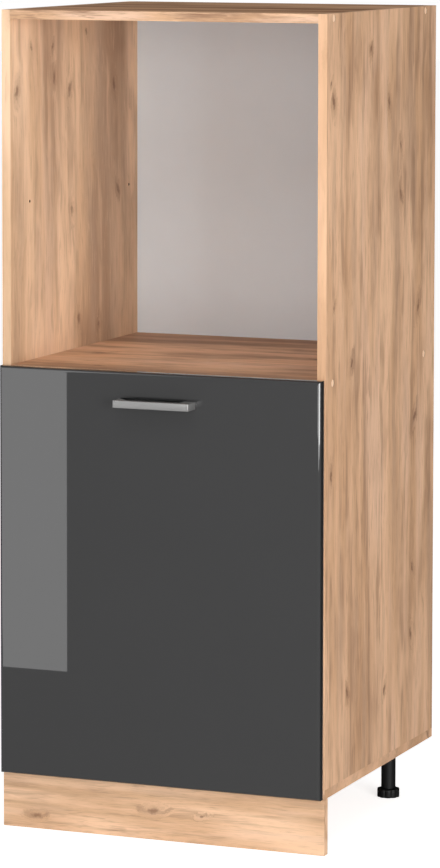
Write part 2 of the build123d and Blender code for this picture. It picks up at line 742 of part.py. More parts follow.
def plate_screw(point):
    head = PLATE_SCREW_HEAD_DIAMETER, PLATE_SCREW_HEAD_HEIGHT
    return pan_screw(PLATE_SCREW_DIAMETER, PLATE_SCREW_LENGTH, *head, point, LEFT)


def plate_screw_bores(name):
    length = PLATE_SCREW_LENGTH + FIT
    points = plate_screw_points(HINGE_LEVELS[name])
    return [rod(PLATE_SCREW_DIAMETER + 2 * FIT, length, point, LEFT) for point in points]


def hinge_plate(name):
    """A cross-shaped plate: wings for two screws and a raised bridge under the arm."""
    level = HINGE_LEVELS[name]
    x = -INNER_HALF
    wing_half = PLATE_WING_WIDTH / 2
    wings = block(
        (x, x + PLATE_THICKNESS),
        (PLATE_SCREW_SETBACK - wing_half, PLATE_SCREW_SETBACK + wing_half),
        (level - PLATE_WING_LENGTH / 2, level + PLATE_WING_LENGTH / 2),
    )
    bridge_top = x + ARM_HEIGHT - ARM_THICKNESS
    bridge = block(
        (x, bridge_top),
        (PLATE_BRIDGE_START, PLATE_BRIDGE_END),
        (level - PLATE_BRIDGE_WIDTH / 2, level + PLATE_BRIDGE_WIDTH / 2),
    )
    wings = fillet(wings.edges().filter_by(Axis.X), PLATE_WING_CORNER)
    cutters = plate_screw_bores(name)
    for point in arm_screw_points(level):
        cutters.append(rod(ARM_SCREW_DIAMETER + 2 * FIT, ARM_THICKNESS + ARM_SCREW_BITE + FIT, point, LEFT))
    return cut(wings + bridge, cutters)


# Naming and writing

def build_parts():
    """Every sub-part by name; a list holds separate solids of one kind."""
    full = (-HALF_WIDTH, HALF_WIDTH)
    inner = (-INNER_HALF, INNER_HALF)
    parts = {
        "top_panel": between_sides(TOP_PANEL_BOTTOM),
        "oven_shelf": between_sides(SHELF_BOTTOM),
        "bottom_panel": bottom_panel(),
        "adjustable_shelf": adjustable_shelf(),
        "adjustable_shelf_edge_band": adjustable_shelf_band(),
        "top_panel_edge_band": edge_band(inner, (TOP_PANEL_BOTTOM, CABINET_HEIGHT)),
        "oven_shelf_edge_band": edge_band(inner, (SHELF_BOTTOM, SHELF_TOP)),
        "bottom_panel_edge_band": edge_band(full, (PLINTH_SPACE, SIDE_BOTTOM)),
        "shelf_pins": shelf_pins(),
        "carcass_screws": [carcass_screw(*line) for line in screw_lines() + bottom_screw_lines()],
        "wood_dowels": [dowel(*line) for line in dowel_lines()],
        "cover_caps": [cover_cap(*line) for line in screw_lines()],
        "back_nails": [nail(*line) for line in nail_lines()],
        "plinth_board": plinth_board(),
        "plinth_edge_band": plinth_band(),
        "door_panel": door_panel(),
        "door_handle": handle(),
        "handle_screws": [handle_screw(point) for point in handle_screw_points()],
        "door_bumpers": door_bumpers(),
    }
    for side in SIDES:
        x = sorted((side_x(side, 0), side_x(side, BOARD)))
        parts[f"{side}_side_panel"] = side_panel(side)
        parts[f"{side}_side_edge_band"] = edge_band(x, (SIDE_BOTTOM, CABINET_HEIGHT))
        parts[f"{side}_plinth_clip"] = plinth_clip(side)
    for name in back_limits():
        parts[f"{name}_back_panel"] = back_panel(name)
    for name, place in leg_places().items():
        parts[f"{name}_leg_socket"] = leg_socket(place)
        parts[f"{name}_leg_foot"] = leg_foot(place)
    parts["leg_screws"] = [leg_screw(p) for place in leg_places().values() for p in leg_screw_points(place)]
    parts["clip_screws"] = [clip_screw(point) for side in SIDES for point in clip_screw_points(side)]
    for name, level in HINGE_LEVELS.items():
        parts[f"{name}_hinge_cup"] = hinge_cup(level)
        parts[f"{name}_hinge_pin"] = hinge_pin(level)
        parts[f"{name}_hinge_arm"] = hinge_arm(level)
        parts[f"{name}_hinge_plate"] = hinge_plate(name)
    levels = HINGE_LEVELS.values()
    parts["cup_screws"] = [cup_screw(point) for level in levels for point in cup_screw_points(level)]
    parts["arm_screws"] = [arm_screw(point) for level in levels for point in arm_screw_points(level)]
    parts["plate_screws"] = [plate_screw(point) for level in levels for point in plate_screw_points(level)]
    return parts


def write_parts():
    os.makedirs("parts", exist_ok=True)
    for name, shape in build_parts().items():
        pieces = shape if isinstance(shape, list) else [shape]
        moved = [Pos(0, -MIDDLE_Y, 0) * piece for piece in pieces]
        solids = [solid for piece in moved for solid in piece.solids()]
        whole = solids[0] if len(solids) == 1 else Compound(children=solids)
        export_step(whole, f"parts/{name}.step")


write_parts()
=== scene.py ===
"""Looks for a tall oven housing cabinet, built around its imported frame.

Each operator dresses one piece or one group of like pieces. Lengths are metres.
"""

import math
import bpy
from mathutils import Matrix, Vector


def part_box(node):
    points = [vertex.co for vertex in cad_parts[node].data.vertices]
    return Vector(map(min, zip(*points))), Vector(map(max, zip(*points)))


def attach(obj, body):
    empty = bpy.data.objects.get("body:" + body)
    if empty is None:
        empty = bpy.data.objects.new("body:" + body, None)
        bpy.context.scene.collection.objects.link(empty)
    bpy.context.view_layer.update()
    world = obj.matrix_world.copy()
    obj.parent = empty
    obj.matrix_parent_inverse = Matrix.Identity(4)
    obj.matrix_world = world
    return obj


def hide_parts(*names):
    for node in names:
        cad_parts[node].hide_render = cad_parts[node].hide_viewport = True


bl_info = {
    "name": "Oven housing cabinet",
    "version": (1, 0, 0),
    "blender": (4, 5, 0),
    "location": "View3D > Sidebar > Cabinet",
    "description": "Dresses a tall oven housing cabinet and sets its studio",
    "category": "Object",
}

from typing import NamedTuple

import bpy
import numpy as np
from mathutils import Matrix, Vector

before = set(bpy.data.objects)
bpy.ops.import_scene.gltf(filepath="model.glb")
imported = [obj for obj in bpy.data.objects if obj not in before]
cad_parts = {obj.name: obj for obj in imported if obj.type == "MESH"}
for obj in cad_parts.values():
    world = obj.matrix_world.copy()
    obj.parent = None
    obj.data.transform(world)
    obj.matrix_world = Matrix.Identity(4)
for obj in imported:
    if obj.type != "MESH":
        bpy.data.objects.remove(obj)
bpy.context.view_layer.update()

MM = 0.001
WHITE = (1.0, 1.0, 1.0, 1.0)
PICTURE_HEIGHT_PIXELS = 868
SENSOR_MILLIMETRES = 36.0

FEET = ("front_left", "front_right", "rear_left", "rear_right")
SCREW_NODES = {
    "leg_screws": "root",
    "arm_screws": "root",
    "plate_screws": "root",
    "clip_screws": "plinth",
    "cup_screws": "door",
    "handle_screws": "door",
}
BACK_BOARDS = ("upper_back_panel", "lower_back_panel")
HINGE_NODES = tuple(
    f"{level}_hinge_{part}" for level in ("lower", "upper") for part in ("arm", "cup", "pin", "plate")
)
STEEL_NODES = ("carcass_screws", "back_nails", "shelf_pins") + HINGE_NODES
PLASTIC_NODES = tuple(f"{foot}_leg_socket" for foot in FEET) + ("left_plinth_clip", "right_plinth_clip")


class Print(NamedTuple):
    """How the decor lies on a piece: where it starts, and what sets it apart from the plain decor.

    Lift is the share of the painted light gain, which pales a piece's decor to stand for the light
    that falls on it; scale widens all the figures, and depth is how dark the broadest bands are.
    """

    axis: str
    offset: tuple
    lift: float = 0.0
    contrast: float = 1.0
    scale: float = 1.0
    stretch: float = 1.0
    depth: float = 0.1
    shine: float = 0.16


# The lifts are painted light: the inner left board is paled to make up for the shade in the niche, front
# faces such as the plinth are paled more than the tops and shelves.
LEFT = Print("Z", (13.11, 2.53, 10.77), lift=1.6, contrast=0.75, scale=1.6, stretch=0.8, depth=0.9)
RIGHT = Print("Z", (15.81, 0.16, 9.28), lift=0.55, contrast=0.95, stretch=0.9)
SHELF = Print("X", (9.2, 6.3, 2.1), lift=0.4, contrast=1.2, scale=1.6, stretch=1.3, depth=0.8, shine=0.25)
PLINTH = Print("X", (19.62, 7.95, 1.46), lift=1.0, contrast=0.8, scale=0.45, stretch=1.3, depth=0.0)
STAND_UP_EDGE = Print("Z", (3.4, 1.8, 1.2), contrast=0.35)
LYING_EDGE = Print("X", (7.1, 10.49, 15.51), lift=0.75, contrast=1.6, scale=0.6)
BOARD_PRINTS = {
    "left_side_panel": LEFT,
    "right_side_panel": RIGHT,
    "top_panel": SHELF._replace(offset=(5.3, 0.0, 0.0), lift=0.3, shine=0.0),
    "oven_shelf": SHELF._replace(offset=(5.59, 18.33, 15.31)),
    "bottom_panel": SHELF._replace(offset=(7.9, 4.2, 1.4), contrast=0.6, depth=0.0),
    "adjustable_shelf": SHELF,
    "plinth_board": PLINTH,
    "plinth_edge_band": PLINTH,
}
# Painted light in the edge lifts: the left band is paled for the key light it misses, the right band less
# since the key falls on it; partly it is the banding's own paler tone.
EDGE_PRINTS = {
    "left_side_edge_band": STAND_UP_EDGE._replace(lift=1.42),
    "right_side_edge_band": STAND_UP_EDGE._replace(lift=0.45),
    "top_panel_edge_band": LYING_EDGE,
    "oven_shelf_edge_band": LYING_EDGE._replace(offset=(8.4, 10.49, 15.51)),
    "bottom_panel_edge_band": LYING_EDGE._replace(offset=(9.7, 10.49, 15.51)),
    "adjustable_shelf_edge_band": LYING_EDGE._replace(offset=(11.0, 10.49, 15.51)),
}
RAW_BEECH = Print("X", (9.0, 4.0, 2.0))


class Lamp(NamedTuple):
    """A rectangular lamp, with the name of the studio setting that holds its radiance."""

    name: str
    setting: str
    place: tuple
    size: tuple
    target: tuple = (0.0, 0.0, 0.75)
    lights_matt: bool = True


LAMPS = (
    Lamp("key softbox", "key", (3.52, -2.96, 1.2), (1.9, 2.2)),
    Lamp("fill softbox", "fill", (0.0, -4.6, 1.2), (2.2, 2.2)),
    Lamp("low softbox", "low", (2.3, -3.98, 0.5), (1.9, 0.9)),
    Lamp("high softbox", "high", (0.5, -2.5, 3.6), (2.0, 2.0)),
    Lamp("left card", "card", (-1.465, -1.5965, 1.251), (1.4, 2.5), (-1.465, 2.0, 1.251), False),
    Lamp("edge strip", "strip", (3.0, -3.3, 1.25), (4.0, 2.3), (0.3, -0.28, 1.25), False),
)


# Settings

def colour_setting(name, description, default):
    return bpy.props.FloatVectorProperty(
        name=name, description=description, subtype="COLOR", size=3, default=default
    )


def number_setting(name, description, default, **details):
    return bpy.props.FloatProperty(name=name, description=description, default=default, **details)


def length_setting(name, description, default):
    return number_setting(name, description, default, subtype="DISTANCE")


def angle_setting(name, description, default):
    return number_setting(name, description, default, subtype="ANGLE")


def radiance_setting(name, description, default):
    return number_setting(name, description, default, min=0)


class DecorSettings(bpy.types.PropertyGroup):
    """Colours and sizes of the printed wood decor."""

    light: colour_setting("Light wood", "Palest tone of the boards", (0.754, 0.445, 0.267))
    middle: colour_setting("Middle wood", "Main tone of the boards", (0.585, 0.325, 0.180))
    dark: colour_setting("Dark wood", "Tone of the dark streaks", (0.275, 0.140, 0.078))
    grey: colour_setting("Grey wood", "Tone of the greyish streaks", (0.425, 0.252, 0.160))
    rose: colour_setting("Rose wood", "Tone of the pale pinkish streaks", (0.720, 0.445, 0.300))
    knot: colour_setting("Knot", "Tone of the small knots", (0.150, 0.066, 0.036))
    # Painted shade: the bare particle board is darkened to near black to stand for the shade inside bored
    # holes and seats.
    raw: colour_setting("Raw core", "Particle board inside bored holes and seats", (0.050, 0.032, 0.020))
    # Painted light: this gain pales the decor on a piece as brighter light on it would, and each piece's
    # lift sets its share. It is not a paler print.
    painted_light_gain: bpy.props.FloatVectorProperty(
        name="Painted light gain", description="Gain in red, green and blue of the paler print of the decor",
        size=3, default=(1.18, 1.32, 1.42),
    )
    band_width: length_setting("Band width", "Width of the broad bands in the grain", 0.060)
    streak_width: length_setting("Streak width", "Width of the dark streaks", 0.022)
    fleck_width: length_setting("Fleck width", "Width of the short dark flecks", 0.009)
    fibre_width: length_setting("Fibre width", "Width of the fine fibres", 0.003)
    stretch: number_setting("Stretch", "How much longer than wide the streaks are", 9.0)
    wave: length_setting("Wave", "How far the grain sways from side to side", 0.045)
    knot_spacing: length_setting("Knot spacing", "Mean distance between knots across the grain", 0.085)


class FinishSettings(bpy.types.PropertyGroup):
    """Colours of the other finishes."""

    door: colour_setting("Door", "Gloss colour of the door", (0.0275, 0.0275, 0.028))
    door_back: colour_setting("Door back", "Colour of the door's inner face", (0.72, 0.71, 0.69))
    # Painted light: the white lacquer is tinted blue to cancel the warm light that the wood bounces onto
    # it.
    back_board: colour_setting("Back board", "Lacquer on the thin back boards", (0.80, 0.875, 0.935))
    fibreboard: colour_setting("Fibreboard", "Bare rear face of the back boards", (0.50, 0.315, 0.185))
    handle: colour_setting("Handle", "Brushed metal of the handle", (0.225, 0.2225, 0.219))
    steel: colour_setting("Plated steel", "Screws and hinges", (0.64, 0.63, 0.61))
    plastic: colour_setting("Black plastic", "Feet, sockets and clips", (0.008, 0.008, 0.0085))
    cap: colour_setting("Cover cap", "Caps over the side screws", (0.96, 0.67, 0.46))
    bumper: colour_setting("Bumper", "Soft dots behind the door", (0.62, 0.63, 0.64))


class ShapeSettings(bpy.types.PropertyGroup):
    """Sizes of the pieces that are modelled here."""

    handle_edge: length_setting("Handle edge", "Rounding of the handle's long edges", 0.0009)
    handle_corner: length_setting("Handle corner", "Rounding of the handle's corners in plan", 0.0015)
    handle_gap_width: length_setting("Finger gap width", "Clear width behind the bar", 0.096)
    handle_gap_depth: length_setting("Finger gap depth", "Clear depth behind the bar", 0.023)
    handle_gap_corner: length_setting("Finger gap corner", "Rounding inside the gap", 0.005)
    foot_lobes: bpy.props.IntProperty(
        name="Foot lobes", description="Grip hollows round the pad", default=10, min=3
    )
    foot_pad_height: length_setting("Pad height", "Height of the grip pad", 0.015)
    foot_pad_radius: length_setting("Pad radius", "Outer radius of the grip pad", 0.0205)
    foot_lobe_depth: length_setting("Lobe depth", "Depth of the grip hollows", 0.0016)
    spindle_radius: length_setting("Spindle radius", "Outer radius of the spindle's thread", 0.0097)
    thread_pitch: length_setting("Thread pitch", "Pitch of the spindle's thread", 0.004)
    thread_depth: length_setting("Thread depth", "Depth of the spindle's thread", 0.0011)
    screw_pitch: length_setting("Screw pitch", "Pitch of the small screws' threads", 0.0011)


class StudioSettings(bpy.types.PropertyGroup):
    """Camera and lights. Places are in the cabinet's own frame."""

    eye: bpy.props.FloatVectorProperty(
        name="Camera place", description="Where the camera stands", subtype="TRANSLATION", size=3,
        default=(2.6545, -6.5465, 1.6405),
    )
    yaw: angle_setting("Camera yaw", "Turn to the left of straight ahead", 0.38468)
    pitch: angle_setting("Camera pitch", "How far the camera looks down", 0.0818)
    roll: angle_setting("Camera roll", "Turn about the line of sight", -0.00155)
    focal_pixels: number_setting("Focal length", "In pixels of the picture's long side", 4020.3)
    shift_up: number_setting("Shift", "Lens shift, as a share of the long side", -0.25)
    floor_lift: number_setting("Floor lift", "How far the floor is lifted to the white background", 0.76)
    mirrored: radiance_setting("Mirrored surroundings", "Floor and world in front, as seen in gloss", 0.57)
    ambient: radiance_setting("Ambient", "Light from the upper sky", 0.30)
    key: radiance_setting("Key light", "Softbox at the front right", 10.0)
    fill: radiance_setting("Fill light", "Softbox straight ahead", 2.6)
    low: radiance_setting("Low light", "Low softbox before the plinth", 3.1)
    high: radiance_setting("High light", "Softbox above the front", 3.3)
    card: radiance_setting("Left card", "Card that the door mirrors", 2.0)
    strip: radiance_setting("Strip", "Strip that the rounded door edge mirrors", 3.9)


def settings(name):
    return getattr(bpy.context.scene, f"cabinet_{name}")


# Node helpers

def add(tree, kind, **values):
    """A shader node of the given kind with its properties and its unlinked inputs set."""
    node = tree.nodes.new(f"ShaderNode{kind}")
    for key, value in values.items():
        if hasattr(node, key):
            setattr(node, key, value)
        else:
            node.inputs[key.replace("_", " ")].default_value = value
    return node


def feed(tree, node, key, value):
    """Links a socket into an input, or sets the input to a plain value."""
    if isinstance(value, bpy.types.NodeSocket):
        tree.links.new(value, node.inputs[key])
    else:
        node.inputs[key].default_value = value


def calc(tree, operation, *values, kind="Math"):
    node = add(tree, kind, operation=operation)
    for index, value in enumerate(values):
        feed(tree, node, index, value)
    return node.outputs[0]


def vector_calc(tree, operation, *values):
    return calc(tree, operation, *values, kind="VectorMath")


def times(tree, first, second):
    return calc(tree, "MULTIPLY", first, second)


def split(tree, vector):
    """The X, Y and Z of a vector."""
    node = add(tree, "SeparateXYZ")
    feed(tree, node, 0, vector)
    return tuple(node.outputs)


def gather(tree, *parts):
    """A vector of up to three parts; those left out are nought."""
    node = add(tree, "CombineXYZ")
    for index, part in enumerate(parts):
        feed(tree, node, index, part)
    return node.outputs[0]


def noise(tree, vector, scale, detail=3.0, roughness=0.55):
    node = add(tree, "TexNoise", Detail=detail, Roughness=roughness)
    feed(tree, node, "Vector", vector)
    feed(tree, node, "Scale", scale)
    return node.outputs["Fac"]


def ramp(tree, value, low, high):
    """Maps the span from low to high onto 0 to 1, smoothly."""
    node = add(tree, "MapRange", interpolation_type="SMOOTHSTEP", From_Min=low, From_Max=high)
    feed(tree, node, "Value", value)
    return node.outputs["Result"]


def mix_colour(tree, factor, first, second):
    node = add(tree, "Mix", data_type="RGBA")
    for index, value in ((0, factor), (6, first), (7, second)):
        feed(tree, node, index, value)
    return node.outputs[2]


def rgba(colour, gain=1.0):
    """An opaque colour, paler or darker by the gain, and no channel above 1."""
    return (*(min(1.0, channel * gain) for channel in colour), 1.0)


def new_group(name, inputs, outputs):
    """A node group with sockets of the given names, kinds and defaults; returns it and its two ends."""
    tree = bpy.data.node_groups.new(name, "ShaderNodeTree")
    for label, kind, *default in inputs:
        socket = tree.interface.new_socket(name=label, in_out="INPUT", socket_type=f"NodeSocket{kind}")
        if default:
            socket.default_value = default[0]
    for label, kind in outputs:
        tree.interface.new_socket(name=label, in_out="OUTPUT", socket_type=f"NodeSocket{kind}")
    return tree, tree.nodes.new("NodeGroupInput"), tree.nodes.new("NodeGroupOutput")


def place_group(tree, group, vector, **values):
    node = add(tree, "Group", node_tree=group, **values)
    feed(tree, node, "Vector", vector)
    return node


# Node groups

def layer(tree, place, width, stretch, shift, detail=2.0, roughness=0.5):
    """Noise whose patches are as wide as given and many times as long along Z."""
    x, y, z = split(tree, place)
    squeezed = gather(tree, calc(tree, "ADD", x, shift), y, calc(tree, "DIVIDE", z, stretch))
    return noise(tree, squeezed, calc(tree, "DIVIDE", 1.0, width), detail, roughness)


def push_across(tree, place, push):
    """Moves a place by the same push along X and Y."""
    return vector_calc(tree, "ADD", place, gather(tree, push, push))


def wavy_place(tree, place, wave):
    """Pushes the grain from side to side as it runs along Z: a long wave plus a small short one."""
    long_wave = noise(tree, vector_calc(tree, "MULTIPLY", place, (2.2, 2.2, 1.3)), 1.0, detail=1.0)
    short_wave = noise(tree, vector_calc(tree, "MULTIPLY", place, (16.0, 16.0, 9.0)), 1.0, detail=2.0)
    wide = calc(tree, "MULTIPLY_ADD", long_wave, 1.0, -0.5)
    small = calc(tree, "MULTIPLY_ADD", short_wave, 0.22, -0.11)
    return push_across(tree, place, times(tree, calc(tree, "ADD", wide, small), wave))


def knot_masks(tree, place, spacing):
    """Core and halo of knots: slanted flecks, one in some of the cells of a stretched lattice.

    The lattice lies in the board's face: one way across the grain, the other along it.
    A cell's random colour says whether it has a knot, how big it is and how it leans.
    """
    x, y, z = split(tree, place)
    across = calc(tree, "DIVIDE", calc(tree, "ADD", x, y), spacing)
    along = calc(tree, "DIVIDE", times(tree, z, 0.45), spacing)
    cell = gather(tree, across, along)
    spots = add(tree, "TexVoronoi", voronoi_dimensions="2D", feature="F1", Scale=1.0)
    feed(tree, spots, "Vector", cell)
    chance = add(tree, "SeparateColor")
    feed(tree, chance, 0, spots.outputs["Color"])
    chosen, bulk, slant = chance.outputs
    away_x, away_y, _ = split(tree, vector_calc(tree, "SUBTRACT", cell, spots.outputs["Position"]))
    lean = calc(tree, "MULTIPLY_ADD", slant, 1.8, -0.9)
    sideways = calc(tree, "MULTIPLY_ADD", lean, away_y, away_x)
    length = calc(tree, "POWER", calc(tree, "ABSOLUTE", away_y), 2.0)
    distance = calc(tree, "SQRT", calc(tree, "MULTIPLY_ADD", sideways, sideways, length))
    ragged = calc(tree, "MULTIPLY_ADD", noise(tree, place, 150.0, detail=2.0), 0.10, -0.05)
    size = calc(tree, "MULTIPLY_ADD", bulk, 0.8, 0.40)
    near = calc(tree, "DIVIDE", calc(tree, "ADD", distance, ragged), size)
    kept = ramp(tree, chosen, 0.62, 0.66)
    core = times(tree, ramp(tree, near, 0.085, 0.015), kept)
    halo = times(tree, ramp(tree, near, 0.24, 0.02), kept)
    return core, halo


def decor_group():
    """Grain that runs along Z: broad bands, dark and grey streaks, short flecks, fibres and knots."""
    if "Wood decor" in bpy.data.node_groups:
        return bpy.data.node_groups["Wood decor"]
    colours = ("Light", "Middle", "Dark", "Grey", "Rose", "Knot")
    numbers = (
        "Band width", "Streak width", "Fleck width", "Fibre width", "Stretch", "Wave",
        "Knot spacing", "Depth", "Contrast",
    )
    tree, start, end = new_group(
        "Wood decor",
        [("Vector", "Vector")] + [(key, "Color") for key in colours] + [(key, "Float") for key in numbers],
        [("Color", "Color"), ("Roughness", "Float"), ("Height", "Float")],
    )
    given = start.outputs
    light, dark = given["Light"], given["Dark"]
    stretch, band, fleck = given["Stretch"], given["Band width"], given["Fleck width"]
    longer = times(tree, stretch, 2.0)

    place = wavy_place(tree, given["Vector"], given["Wave"])
    core, halo = knot_masks(tree, place, given["Knot spacing"])
    place = push_across(tree, place, times(tree, halo, 10 * MM))
    bands = layer(tree, place, band, stretch, 0.0, detail=1.0)
    depths = layer(tree, place, times(tree, band, 1.7), stretch, 12.3)
    hues = layer(tree, place, band, stretch, 1.7)
    streaks = layer(tree, place, given["Streak width"], longer, 3.1, detail=3.0, roughness=0.55)
    flecks = layer(tree, place, fleck, stretch, 4.9)
    lines = layer(tree, place, times(tree, fleck, 0.7), longer, 6.7)
    fibres = layer(tree, place, given["Fibre width"], longer, 9.2, detail=3.0, roughness=0.6)
    clouds = noise(tree, vector_calc(tree, "MULTIPLY", place, (11.0, 11.0, 4.5)), 1.0)
    patches = noise(tree, vector_calc(tree, "MULTIPLY", place, (15.0, 15.0, 7.0)), 1.0, detail=2.0)
    dark_streaks = times(tree, ramp(tree, streaks, 0.50, 0.66), ramp(tree, patches, 0.34, 0.6))
    dark_flecks = times(tree, ramp(tree, flecks, 0.56, 0.70), ramp(tree, patches, 0.46, 0.62))

    # Each stain is where it lies, how strong it is and its tone
    stains = (
        (ramp(tree, depths, 0.56, 0.40), given["Depth"], dark),
        (ramp(tree, clouds, 0.52, 0.30), 0.42, dark),
        (ramp(tree, hues, 0.53, 0.70), 0.60, given["Grey"]),
        (ramp(tree, hues, 0.49, 0.32), 0.50, given["Rose"]),
        (dark_streaks, 0.62, dark),
        (ramp(tree, streaks, 0.46, 0.30), 0.50, light),
        (dark_flecks, 0.45, dark),
        (ramp(tree, lines, 0.56, 0.70), 0.16, dark),
        (ramp(tree, fibres, 0.52, 0.72), 0.40, dark),
        (ramp(tree, fibres, 0.46, 0.28), 0.32, light),
        (halo, 0.40, dark),
        (core, 0.70, given["Knot"]),
    )
    colour = mix_colour(tree, ramp(tree, bands, 0.36, 0.64), given["Middle"], light)
    for mask, share, tone in stains:
        part = times(tree, times(tree, mask, share), given["Contrast"])
        colour = mix_colour(tree, part, colour, tone)
    pores = times(tree, ramp(tree, fibres, 0.50, 0.72), 0.6)
    feed(tree, end, "Color", colour)
    feed(tree, end, "Roughness", calc(tree, "MULTIPLY_ADD", fibres, 0.14, 0.54))
    feed(tree, end, "Height", calc(tree, "SUBTRACT", 1.0, pores))
    return tree


def speckle_group():
    """Fine mottle for moulded and lacquered surfaces: a tone factor and a height."""
    if "Fine mottle" in bpy.data.node_groups:
        return bpy.data.node_groups["Fine mottle"]
    tree, start, end = new_group(
        "Fine mottle",
        [("Vector", "Vector"), ("Grain size", "Float", 1 * MM), ("Cloud size", "Float", 50 * MM)],
        [("Tone", "Float"), ("Height", "Float")],
    )
    given = start.outputs
    coarse = noise(tree, given["Vector"], calc(tree, "DIVIDE", 1.0, given["Cloud size"]), detail=3.0)
    fine = noise(tree, given["Vector"], calc(tree, "DIVIDE", 1.0, given["Grain size"]), detail=2.0)
    feed(tree, end, "Tone", coarse)
    feed(tree, end, "Height", fine)
    return tree


def brushed_group():
    """Hair-fine lines that run along X, as on brushed metal."""
    if "Brushed lines" in bpy.data.node_groups:
        return bpy.data.node_groups["Brushed lines"]
    tree, start, end = new_group(
        "Brushed lines",
        [("Vector", "Vector"), ("Line width", "Float", 0.4 * MM)],
        [("Tone", "Float"), ("Height", "Float")],
    )
    width = start.outputs["Line width"]
    squeezed = vector_calc(tree, "MULTIPLY", start.outputs["Vector"], (0.02, 1.0, 1.0))
    lines = noise(tree, squeezed, calc(tree, "DIVIDE", 1.0, width), detail=2.0, roughness=0.7)
    broad = noise(tree, squeezed, calc(tree, "DIVIDE", 0.2, width), detail=2.0, roughness=0.5)
    half = times(tree, lines, 0.5)
    feed(tree, end, "Tone", calc(tree, "MULTIPLY_ADD", broad, 0.5, half))
    feed(tree, end, "Height", lines)
    return tree


# Materials

def blank_material(name, **sockets):
    """A material with one Principled shader; sockets that are the same all over are set on it."""
    material = bpy.data.materials.new(name)
    material.use_nodes = True
    tree = material.node_tree
    shader = next(node for node in tree.nodes if node.type == "BSDF_PRINCIPLED")
    for key, value in sockets.items():
        shader.inputs[key.replace("_", " ")].default_value = value
    return material, tree, shader


def object_place(tree):
    return add(tree, "TexCoord").outputs["Object"]


def bump(tree, shader, height, strength, distance):
    node = add(tree, "Bump", Strength=strength, Distance=distance)
    feed(tree, node, "Height", height)
    feed(tree, shader, "Normal", node.outputs["Normal"])


def vary_colour(tree, tone, colour, down, up):
    """Runs from a darker to a paler colour as the tone rises."""
    return mix_colour(tree, tone, rgba(colour, 1 - down), rgba(colour, 1 + up))


def vary_roughness(tree, shader, tone, roughness, span):
    """Runs across the span, whose middle is the given roughness, as the tone rises."""
    feed(tree, shader, "Roughness", calc(tree, "MULTIPLY_ADD", tone, span, roughness - span / 2))


def run_along(tree, vector, axis, offset):
    """Turns a place so that the given axis becomes Z, and moves it to another stretch of decor."""
    x, y, z = split(tree, vector)
    turned = {"Z": (x, y, z), "X": (z, y, x)}[axis]
    return vector_calc(tree, "ADD", gather(tree, *turned), offset)


def decor_material(name, look):
    """The decor along one axis, printed as the look says."""
    decor = settings("decor")
    material, tree, shader = blank_material(name, Specular_IOR_Level=look.shine)
    # Painted light: the piece's lift pales all its tones by its share of the painted light gain.
    gain = [1 + look.lift * (channel - 1) for channel in decor.painted_light_gain]
    tones = {
        key: rgba([a * b for a, b in zip(getattr(decor, key.lower()), gain)])
        for key in ("Light", "Middle", "Dark", "Grey", "Rose")
    }
    widths = {
        f"{part}_width": getattr(decor, f"{part.lower()}_width") * look.scale
        for part in ("Band", "Streak", "Fleck", "Fibre")
    }
    place = run_along(tree, object_place(tree), look.axis, look.offset)
    node = place_group(
        tree, decor_group(), place, **tones, **widths, Knot=rgba(decor.knot),
        Stretch=decor.stretch * look.stretch, Wave=decor.wave * look.scale,
        Knot_spacing=decor.knot_spacing, Depth=look.depth, Contrast=look.contrast,
    )
    feed(tree, shader, "Base Color", node.outputs["Color"])
    feed(tree, shader, "Roughness", node.outputs["Roughness"])
    bump(tree, shader, node.outputs["Height"], strength=0.15, distance=0.2 * MM)
    return material


def mottled_material(name, colour, roughness, grain, spread, strength, **sockets):
    """A moulded, cast or lacquered finish with a faint mottle in its tone and surface."""
    material, tree, shader = blank_material(name, **sockets)
    node = place_group(tree, speckle_group(), object_place(tree), Grain_size=grain)
    tone, height = node.outputs
    feed(tree, shader, "Base Color", vary_colour(tree, tone, colour, spread, spread))
    vary_roughness(tree, shader, tone, roughness, span=0.12)
    bump(tree, shader, height, strength, grain)
    return material


def brushed_material(name, colour, roughness):
    """Satin nickel: half metal, half the soft scatter of its fine brushing."""
    material, tree, shader = blank_material(name, Metallic=0.55, Anisotropic=0.4)
    node = place_group(tree, brushed_group(), object_place(tree))
    tone, height = node.outputs
    feed(tree, shader, "Base Color", vary_colour(tree, tone, colour, down=0.14, up=0.12))
    vary_roughness(tree, shader, tone, roughness, span=0.16)
    bump(tree, shader, height, strength=0.10, distance=0.2 * MM)
    return material


def gloss_door_material(finish):
    """High gloss all round, and a plain pale foil on the door's back."""
    gloss, foil = 0.012, 0.432
    material, tree, shader = blank_material("gloss door", IOR=1.5, Specular_IOR_Level=0.7)
    place = object_place(tree)
    back = float(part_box("door_panel")[1][1]) - 0.3 * MM
    behind = calc(tree, "GREATER_THAN", split(tree, place)[1], back)
    mottle = place_group(tree, speckle_group(), place, Grain_size=4 * MM, Cloud_size=200 * MM)
    outside = vary_colour(tree, mottle.outputs["Tone"], finish.door, down=0.06, up=0.06)
    feed(tree, shader, "Base Color", mix_colour(tree, behind, outside, rgba(finish.door_back)))
    feed(tree, shader, "Roughness", calc(tree, "MULTIPLY_ADD", behind, foil - gloss, gloss))
    return material


def ray_kinds(tree):
    """Two factors: 1 for rays straight from the camera or through glass, and 1 for mirrored rays."""
    path = add(tree, "LightPath").outputs
    seen = calc(tree, "MAXIMUM", path["Is Camera Ray"], path["Is Transmission Ray"])
    return seen, path["Is Glossy Ray"]


